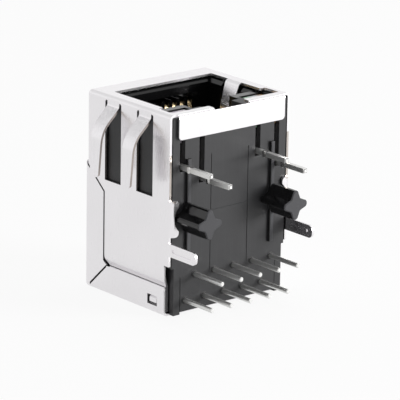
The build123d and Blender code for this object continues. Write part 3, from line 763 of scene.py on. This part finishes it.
class Wardrobe:
    """Makes each finish once, hands its material out and dresses pieces in it."""

    def __init__(self) -> None:
        """Starts with no material made."""
        self._made: dict[Finish, bpy.types.Material] = {}

    def get(self, finish: Finish) -> bpy.types.Material:
        """Hands a finish's material out.

        Args:
            finish: which finish.

        Returns:
            Its material, made on first use.
        """
        if finish not in self._made:
            self._made[finish] = finish.value.build()
        return self._made[finish]

    def dress(self, node: str, finish: Finish) -> None:
        """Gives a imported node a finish.

        Args:
            node: the node's name.
            finish: what it is dressed in.
        """
        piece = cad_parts[node]
        piece.data.materials.clear()
        piece.data.materials.append(self.get(finish))
        LOG.info("dressed %s in %s", node, finish.name.lower())

    def finish_piece(self, piece: bpy.types.Object, finish: Finish) -> None:
        """Puts a new piece's place into its mesh, dresses it and hangs it on the jack.

        Args:
            piece: the new piece.
            finish: what it is dressed in.
        """
        select_only(piece)
        bpy.ops.object.transform_apply(location=True, rotation=True, scale=True)
        bpy.ops.object.mode_set(mode="EDIT")
        bpy.ops.mesh.select_all(action="SELECT")
        bpy.ops.mesh.remove_doubles(threshold=WELD)
        bpy.ops.mesh.normals_make_consistent(inside=False)
        bpy.ops.object.mode_set(mode="OBJECT")
        bpy.ops.object.shade_smooth_by_angle(angle=SMOOTH_BELOW)
        piece.data.materials.clear()
        piece.data.materials.append(self.get(finish))
        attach(piece, "root")
        LOG.info("built %s, %d faces", piece.name, len(piece.data.polygons))


def select_only(piece: bpy.types.Object) -> None:
    """Selects one piece and makes it the active one.

    Args:
        piece: the piece.
    """
    bpy.ops.object.select_all(action="DESELECT")
    piece.select_set(True)
    bpy.context.view_layer.objects.active = piece


def start_block(name: str, low: Vector, high: Vector) -> bpy.types.Object:
    """Starts a piece from a block between two corners, with nothing else selected.

    Args:
        name: the piece's name.
        low: its lowest corner in metres.
        high: its highest corner in metres.

    Returns:
        The block, with its size in its mesh.
    """
    bpy.ops.object.select_all(action="DESELECT")
    bpy.ops.mesh.primitive_cube_add(size=1, location=(low + high) / 2, scale=high - low)
    block = bpy.context.active_object
    block.name = name
    block.data.name = name
    bpy.ops.object.transform_apply(location=True, rotation=True, scale=True)
    return block


def copy_piece(piece: bpy.types.Object, name: str, shift: Vector) -> bpy.types.Object:
    """Copies a piece that is modelled once, with a mesh of its own.

    Args:
        piece: the model.
        name: the copy's name.
        shift: how far the copy lies from the model, in metres.

    Returns:
        The copy.
    """
    twin = piece.copy()
    twin.data = piece.data.copy()
    twin.name = name
    twin.data.name = name
    twin.location += shift
    bpy.context.collection.objects.link(twin)
    return twin


def pick_faces(piece: bpy.types.Object, axis: int, sign: int) -> None:
    """Enters edit mode with the outermost faces on one side of a piece selected.

    Args:
        piece: the piece.
        axis: 0, 1 or 2 for X, Y or Z.
        sign: 1 for the high side and -1 for the low side.
    """
    select_only(piece)
    bpy.ops.object.mode_set(mode="EDIT")
    bpy.ops.mesh.select_all(action="DESELECT")
    bpy.ops.object.mode_set(mode="OBJECT")
    far = max(sign * face.center[axis] for face in piece.data.polygons)
    for face in piece.data.polygons:
        outermost = sign * face.center[axis] > far - SAME_LEVEL
        face.select = outermost and sign * face.normal[axis] > 0.7
    bpy.ops.object.mode_set(mode="EDIT")
    bpy.ops.mesh.select_mode(type="FACE")


def soften_edges(piece: bpy.types.Object, width_mm: float, angle: float) -> None:
    """Rounds a piece's sharp edges in two steps.

    Args:
        piece: the piece.
        width_mm: how wide the rounding is.
        angle: the smallest angle between faces that counts as a sharp edge, in degrees.
    """
    soft = piece.modifiers.new("soft", "BEVEL")
    soft.width = width_mm * MM
    soft.segments = 2
    soft.limit_method = "ANGLE"
    soft.angle_limit = math.radians(angle)
    select_only(piece)
    bpy.ops.object.modifier_apply(modifier=soft.name)


@dataclass
class Shield:
    """The two folded sheets round the jack."""

    nodes: tuple[str, ...] = ("front_shield", "rear_shield")

    def build(self, wardrobe: Wardrobe) -> None:
        """Dresses both sheets."""
        for node in self.nodes:
            wardrobe.dress(node, Finish.SHEET)


@dataclass
class Mouldings:
    """The three black mouldings."""

    nodes: tuple[str, ...] = ("front_housing", "magnetics_case", "contact_carrier")

    def build(self, wardrobe: Wardrobe) -> None:
        """Dresses the mouldings."""
        for node in self.nodes:
            wardrobe.dress(node, Finish.PLASTIC)


@dataclass
class Wires:
    """The contacts in the port, and the signal pins with the resin that seals them."""

    contacts: int = 8
    pins: int = 10
    seal_mm: float = 0.43
    seal_rise_mm: float = 0.10
    seal_root_mm: float = 0.01
    seal_sides: int = 20
    # Shares of the rise and how far each draws in: over the hole's rim, then in a hollow curve
    seal_steps: tuple[Span, ...] = (
        (0.03, 1.0),
        (0.015, 0.86),
        (0.025, 0.84),
        (0.04, 0.88),
    )

    def build(self, wardrobe: Wardrobe) -> None:
        """Dresses the contacts in gold and the pins in tin, and seals the pins in their holes.

        Args:
            wardrobe: gives the finishes.
        """
        for number in range(1, self.contacts + 1):
            wardrobe.dress(f"contact_{number}", Finish.GOLD)
        seal = self._seal()
        for number in range(1, self.pins + 1):
            wardrobe.dress(f"signal_pin_{number}", Finish.TIN)
            low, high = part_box(f"signal_pin_{number}")
            place = Vector(((low.x + high.x) / 2, 0, (low.z + high.z) / 2))
            drop = copy_piece(seal, f"pin_seal_{number}", place)
            wardrobe.finish_piece(drop, Finish.SEAL)
        bpy.data.objects.remove(seal)

    def _seal(self) -> bpy.types.Object:
        """Models the thin drop of resin that seals a pin and climbs it a little.

        Returns:
            The drop, round a pin at the frame's own origin.
        """
        bpy.ops.object.select_all(action="DESELECT")
        bpy.ops.mesh.primitive_circle_add(
            vertices=self.seal_sides,
            radius=self.seal_mm * MM,
            fill_type="NGON",
            rotation=(math.radians(90), 0, 0),
            location=(0, self.seal_root_mm * MM, 0),
        )
        seal = bpy.context.active_object
        seal.name = "pin_seal"
        bpy.ops.object.transform_apply(location=True, rotation=True, scale=True)
        bpy.ops.object.mode_set(mode="EDIT")
        bpy.ops.mesh.select_all(action="SELECT")
        whole = sum(share for share, _ in self.seal_steps)
        for share, scale in self.seal_steps:
            shift = (0, -share * self.seal_rise_mm / whole * MM, 0)
            bpy.ops.mesh.extrude_region_move(TRANSFORM_OT_translate={"value": shift})
            bpy.ops.transform.resize(value=(scale, 1, scale), center_override=(0, 0, 0))
        bpy.ops.object.mode_set(mode="OBJECT")
        return seal


@dataclass
class Lights:
    """The two status lights: lenses, leads, the chips cast into them and the dipped lead ends."""

    plate_mm: Triple = (2.0, 1.0, 0.24)
    plate_depth_mm: float = 0.85
    plate_edge_mm: float = 0.035
    cup_mm: float = 0.20
    cup_depth_mm: float = 0.10
    cup_taper: Triple = (0.92, 0.85, 1)
    chip_mm: Triple = (0.34, 0.34, 0.16)
    chip_bevel_mm: Span = (0.05, 0.04)
    chip_pitch_mm: float = 1.0
    pad_mm: Span = (0.06, 0.01)
    bond_wire_mm: float = 0.05
    bond_wire_sides: int = 8
    bond_wire_steps: int = 12
    # The wire's feet sink a little into the pads
    bond_foot_mm: float = 0.045
    bond_arch: float = 0.5
    dip_start_mm: float = -1.0
    dip_block_mm: float = 0.05
    dip_skin_mm: float = 0.02
    dip_bead_mm: float = 0.09
    dip_edge_mm: float = 0.04
    # The skin stops just short of the lead's own end
    dip_short_mm: float = 0.005

    def build(self, wardrobe: Wardrobe) -> None:
        """Dresses the lenses and leads, and copies the small parts, modelled at the left light.

        Args:
            wardrobe: gives the finishes.
        """
        low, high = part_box("light_lens_left")
        face = high.z - self.plate_depth_mm * MM
        middle = Vector(((low.x + high.x) / 2, (low.y + high.y) / 2, face))
        floor = middle - Vector((0, 0, self.cup_depth_mm * MM))
        step = Vector((self.chip_pitch_mm * MM, 0, 0))
        plate = self._plate(middle)
        chip = self._chip(floor - step / 2)
        wire = self._bond_wire(floor + Vector((0, 0, (self.chip_mm[2] + self.bond_foot_mm) * MM)))
        first = "light_lead_left_1"
        coat = self._dipped_end(first)
        for side, lens in zip(SIDES, (Finish.LENS_LEFT, Finish.LENS_RIGHT)):
            wardrobe.dress(f"light_lens_{side}", lens)
            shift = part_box(f"light_lens_{side}")[0] - low
            parts = (
                (plate, "lamp_plate", shift, Finish.PLATE, "tinned_wire"),
                (chip, "lamp_chip_green", shift, Finish.GREEN_CHIP, "lens_resin"),
                (chip, "lamp_chip_amber", shift + step, Finish.AMBER_CHIP, "lens_resin"),
                (wire, "bond_wire", shift, Finish.GOLD, "contact_gold"),
            )
            for model, name, far, finish, slot in parts:
                wardrobe.finish_piece(copy_piece(model, f"{name}_{side}", far), finish)
            for number in (1, 2):
                lead = f"light_lead_{side}_{number}"
                wardrobe.dress(lead, Finish.TIN)
                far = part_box(lead)[0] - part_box(first)[0]
                twin = copy_piece(coat, f"dipped_end_{side}_{number}", far)
                wardrobe.finish_piece(twin, Finish.SOLDER)
        for model in (plate, chip, wire, coat):
            bpy.data.objects.remove(model)

    def _plate(self, middle: Vector) -> bpy.types.Object:
        """Models the small plate with a pressed cup that carries the chips.

        Args:
            middle: the middle of the plate's face.

        Returns:
            The plate.
        """
        wide, tall, thick = (size * MM for size in self.plate_mm)
        half = Vector((wide / 2, tall / 2, 0))
        plate = start_block("lamp_plate", middle - half - Vector((0, 0, thick)), middle + half)
        pick_faces(plate, 2, 1)
        bpy.ops.mesh.inset(thickness=self.cup_mm * MM)
        sink = (0, 0, -self.cup_depth_mm * MM)
        bpy.ops.mesh.extrude_region_move(TRANSFORM_OT_translate={"value": sink})
        bpy.ops.transform.resize(value=self.cup_taper, center_override=middle)
        bpy.ops.object.mode_set(mode="OBJECT")
        soften_edges(plate, self.plate_edge_mm, 30)
        return plate

    def _chip(self, foot: Vector) -> bpy.types.Object:
        """Models one lamp chip, with a raised pad for the bond wire on its bevelled top.

        Args:
            foot: the middle of its lower face.

        Returns:
            The chip.
        """
        wide, tall, thick = (size * MM for size in self.chip_mm)
        low = foot - Vector((wide / 2, tall / 2, 0))
        chip = start_block("lamp_chip", low, low + Vector((wide, tall, thick)))
        pick_faces(chip, 2, 1)
        bevel, lift = self.chip_bevel_mm
        bpy.ops.mesh.inset(thickness=bevel * MM)
        bpy.ops.transform.translate(value=(0, 0, lift * MM))
        rim, rise = self.pad_mm
        bpy.ops.mesh.inset(thickness=rim * MM)
        bpy.ops.mesh.extrude_region_move(TRANSFORM_OT_translate={"value": (0, 0, rise * MM)})
        bpy.ops.object.mode_set(mode="OBJECT")
        return chip

    def _bond_wire(self, middle: Vector) -> bpy.types.Object:
        """Models the fine wire that arches from one chip's pad to the other's.

        Args:
            middle: the point half way between its feet.

        Returns:
            The wire.
        """
        bpy.ops.object.select_all(action="DESELECT")
        bpy.ops.mesh.primitive_circle_add(
            vertices=self.bond_wire_sides,
            radius=self.bond_wire_mm / 2 * MM,
            fill_type="NGON",
            location=middle - Vector((self.chip_pitch_mm / 2 * MM, 0, 0)),
        )
        wire = bpy.context.active_object
        wire.name = "bond_wire"
        bpy.ops.object.transform_apply(location=True, rotation=True, scale=True)
        bpy.ops.object.mode_set(mode="EDIT")
        bpy.ops.mesh.select_all(action="SELECT")
        bpy.ops.mesh.spin(
            steps=self.bond_wire_steps,
            angle=-math.pi,
            center=middle,
            axis=(0, 1, 0),
        )
        # The arch is lower than it is wide
        bpy.ops.mesh.select_all(action="SELECT")
        bpy.ops.transform.resize(value=(1, 1, self.bond_arch), center_override=middle)
        bpy.ops.object.mode_set(mode="OBJECT")
        return wire

    def _dipped_end(self, lead: str) -> bpy.types.Object:
        """Models the solder skin on a lead's end, with the bead where the dip stopped.

        Args:
            lead: the lead's node.

        Returns:
            The skin.
        """
        low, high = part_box(lead)
        size = high.x - low.x
        start = self.dip_start_mm * MM
        centre = Vector(((low.x + high.x) / 2, start, low.z + size / 2))
        half = size / 2 + self.dip_skin_mm * MM / 2
        corner = Vector((half, 0, half))
        back = Vector((0, self.dip_block_mm * MM, 0))
        coat = start_block("dipped_end", centre - corner - back, centre + corner)
        # From the dip line down: a bead, a long even skin, and a rounded end
        bead = 1 + 2 * self.dip_bead_mm / (size / MM)
        head = ((0.10, bead), (0.22, 1.0), (0.20, (1 - self.dip_bead_mm) / bead))
        tail = ((0.12, 0.97), (0.05, 0.75))
        used = sum(length for length, _ in head + tail) + self.dip_block_mm + self.dip_short_mm
        even = ((start - low.y) / MM - used, 1.0)
        pivot = (centre.x, 0, centre.z)
        pick_faces(coat, 1, -1)
        for length, scale in (*head, even, *tail):
            shift = (0, -length * MM, 0)
            bpy.ops.mesh.extrude_region_move(TRANSFORM_OT_translate={"value": shift})
            bpy.ops.transform.resize(value=(scale, 1, scale), center_override=pivot)
        bpy.ops.object.mode_set(mode="OBJECT")
        soften_edges(coat, self.dip_edge_mm, 60)
        return coat


@dataclass
class Magnetics:
    """What the rear case hides: the inner board, wound cores and small parts."""

    cores: int = 4

    def build(self, wardrobe: Wardrobe) -> None:
        """Dresses the hidden pieces.

        Args:
            wardrobe: gives the finishes.
        """
        wardrobe.dress("circuit_board", Finish.LAMINATE)
        wardrobe.dress("capacitor", Finish.CAPACITOR)
        for number in range(1, self.cores + 1):
            wardrobe.dress(f"resistor_{number}", Finish.RESISTOR)
            for kind in ("choke", "transformer"):
                wardrobe.dress(f"{kind}_core_{number}", Finish.FERRITE)
                wardrobe.dress(f"{kind}_winding_{number}", Finish.ENAMEL)


def white_share(tree: bpy.types.NodeTree, camera: float, mirror: float) -> bpy.types.NodeSocket:
    """Gives the share of plain white that a ray sees, by its kind.

    Args:
        tree: the material's or the world's tree.
        camera: the share for rays from the camera.
        mirror: the share for rays from a mirror or a clear piece.

    Returns:
        A socket with that share, and 0 for the light itself.
    """
    path = add_node(tree, "ShaderNodeLightPath")
    kinds = (("Is Camera Ray", camera), ("Is Glossy Ray", mirror), ("Is Transmission Ray", mirror))
    seen, *others = (
        add_node(
            tree,
            "ShaderNodeMath",
            {0: path.outputs[kind]},
            {1: share},
            operation="MULTIPLY",
        ).outputs[0]
        for kind, share in kinds
    )
    for part in others:
        links = {0: seen, 1: part}
        seen = add_node(tree, "ShaderNodeMath", links, operation="MAXIMUM").outputs[0]
    return seen


@dataclass(frozen=True)
class SoftLamp:
    """One square lamp: its name, place and side in metres, and power in watts."""

    name: str
    place: Triple
    size: float
    watts: float

    def hang(self, aim: Vector) -> None:
        """Hangs the lamp so that it faces a point.

        Args:
            aim: the point, in metres.
        """
        bpy.ops.object.light_add(type="AREA", location=self.place)
        lamp = bpy.context.active_object
        lamp.name = self.name
        lamp.data.size = self.size
        lamp.data.energy = self.watts
        lamp.rotation_euler = (aim - Vector(self.place)).to_track_quat("-Z", "Y").to_euler()


@dataclass
class Studio:
    """White sweep, soft lamps and a pale world."""

    floor_size: float = 1.2
    paper: str = "#F6F6F6"
    paper_roughness: float = 0.9
    paper_gloss: float = 0.1
    world_strength: float = 0.34
    floor_glow: float = 0.90
    sky_glow: float = 0.98
    mirror_glow: float = 0.74
    horizon: Span = (0.30, 0.75)
    zenith: float = 0.76
    lamps: tuple[SoftLamp, ...] = (
        SoftLamp("key", (0.23, -0.26, 0.10), 0.16, 1.25),
        SoftLamp("top", (0.12, 0.05, 0.38), 0.26, 0.40),
    )
    aim: Triple = (0.0, 0.004, 0.010)

    def build(self, wardrobe: Wardrobe) -> None:
        """Makes the floor, the world and the lamps.

        Args:
            wardrobe: not used here, because the studio's finishes are its own.
        """
        self._floor()
        self._world()
        for lamp in self.lamps:
            lamp.hang(Vector(self.aim))

    def _floor(self) -> None:
        """Lays a pale floor that the camera sees as white, with the jack's shadow on it."""
        bpy.ops.object.select_all(action="DESELECT")
        bpy.ops.mesh.primitive_plane_add(size=self.floor_size, location=(0, 0, 0))
        floor = bpy.context.active_object
        floor.name = "floor"
        values = {
            "Base Color": linear(self.paper),
            "Roughness": self.paper_roughness,
            "Specular IOR Level": self.paper_gloss,
        }
        tree, shader, _ = new_material("white_paper", values)
        white = add_node(tree, "ShaderNodeEmission", values={"Color": WHITE, "Strength": 1.0})
        share = white_share(tree, self.floor_glow, self.mirror_glow)
        mixed = add_node(
            tree,
            "ShaderNodeMixShader",
            {0: share, 1: shader.outputs[0], 2: white.outputs[0]},
        )
        output = next(node for node in tree.nodes if node.type == "OUTPUT_MATERIAL")
        tree.links.new(mixed.outputs[0], output.inputs["Surface"])
        floor.data.materials.append(bpy.data.materials["white_paper"])

    def _world(self) -> None:
        """Makes the world white to the camera, mirrors and clear pieces, and softer as a light."""
        world = bpy.data.worlds.new("studio")
        bpy.context.scene.world = world
        world.use_nodes = True
        tree = world.node_tree
        tree.nodes.clear()
        light = add_node(
            tree,
            "ShaderNodeBackground",
            values={"Color": WHITE, "Strength": self.world_strength},
        )
        # The backdrop is white up to about a third of the way and the ceiling over it is greyer
        start, end = self.horizon
        place = add_node(tree, "ShaderNodeTexCoord")
        spot = add_node(tree, "ShaderNodeSeparateXYZ", {0: place.outputs["Generated"]})
        level = add_node(
            tree,
            "ShaderNodeMapRange",
            {"Value": spot.outputs[2]},
            {"From Min": start, "From Max": end, "To Min": 1.0, "To Max": self.zenith},
        )
        white = add_node(
            tree,
            "ShaderNodeBackground",
            {"Strength": level.outputs[0]},
            {"Color": WHITE},
        )
        share = white_share(tree, self.sky_glow, 1.0)
        mixed = add_node(
            tree,
            "ShaderNodeMixShader",
            {0: share, 1: light.outputs[0], 2: white.outputs[0]},
        )
        add_node(tree, "ShaderNodeOutputWorld", {"Surface": mixed.outputs[0]})


@dataclass
class PhotoCamera:
    """The photograph's camera, fitted to marked points of the jack."""

    azimuth: float = -40.136
    elevation: float = 16.626
    roll: float = 0.933
    distance_mm: float = 323.767
    shift_right_mm: float = 1.213
    shift_up_mm: float = -0.885
    target_mm: Triple = (0.0, 6.5, 10.5)
    focal_px: float = 3132.4
    frame_px: int = 400
    sensor_mm: float = 36.0
    clip_start: float = 0.01

    def build(self, wardrobe: Wardrobe) -> None:
        """Sets up the camera and makes it the scene's own.

        Args:
            wardrobe: not used here, because a camera has no finish.
        """
        turn, lift, roll = (math.radians(a) for a in (self.azimuth, self.elevation, self.roll))
        flat = math.cos(lift)
        back = Vector((math.sin(turn) * flat, -math.cos(turn) * flat, math.sin(lift)))
        level = (-back).cross(Vector((0, 0, 1))).normalized()
        rise = level.cross(-back)
        right = math.cos(roll) * level + math.sin(roll) * rise
        up = math.cos(roll) * rise - math.sin(roll) * level
        target = Vector(self.target_mm) + self.shift_right_mm * right + self.shift_up_mm * up
        place = (target + back * self.distance_mm) * MM
        bpy.ops.object.camera_add()
        camera = bpy.context.active_object
        camera.name = "photo_camera"
        camera.data.sensor_width = self.sensor_mm
        camera.data.lens = self.focal_px / self.frame_px * self.sensor_mm
        camera.data.clip_start = self.clip_start
        turned = Matrix((right, up, back)).transposed().to_4x4()
        camera.matrix_world = Matrix.Translation(place) @ turned
        bpy.context.scene.camera = camera


def main() -> None:
    """Builds the jack's looks in order."""
    logging.basicConfig(level=logging.INFO, format="%(name)s: %(message)s")
    bpy.context.scene.view_settings.view_transform = "Standard"
    bpy.ops.object.select_all(action="DESELECT")
    wardrobe = Wardrobe()
    groups = (Shield(), Mouldings(), Wires(), Lights(), Magnetics(), Studio(), PhotoCamera())
    for group in groups:
        group.build(wardrobe)
        LOG.info("%s done", type(group).__name__)


if __name__ == "__main__":
    main()
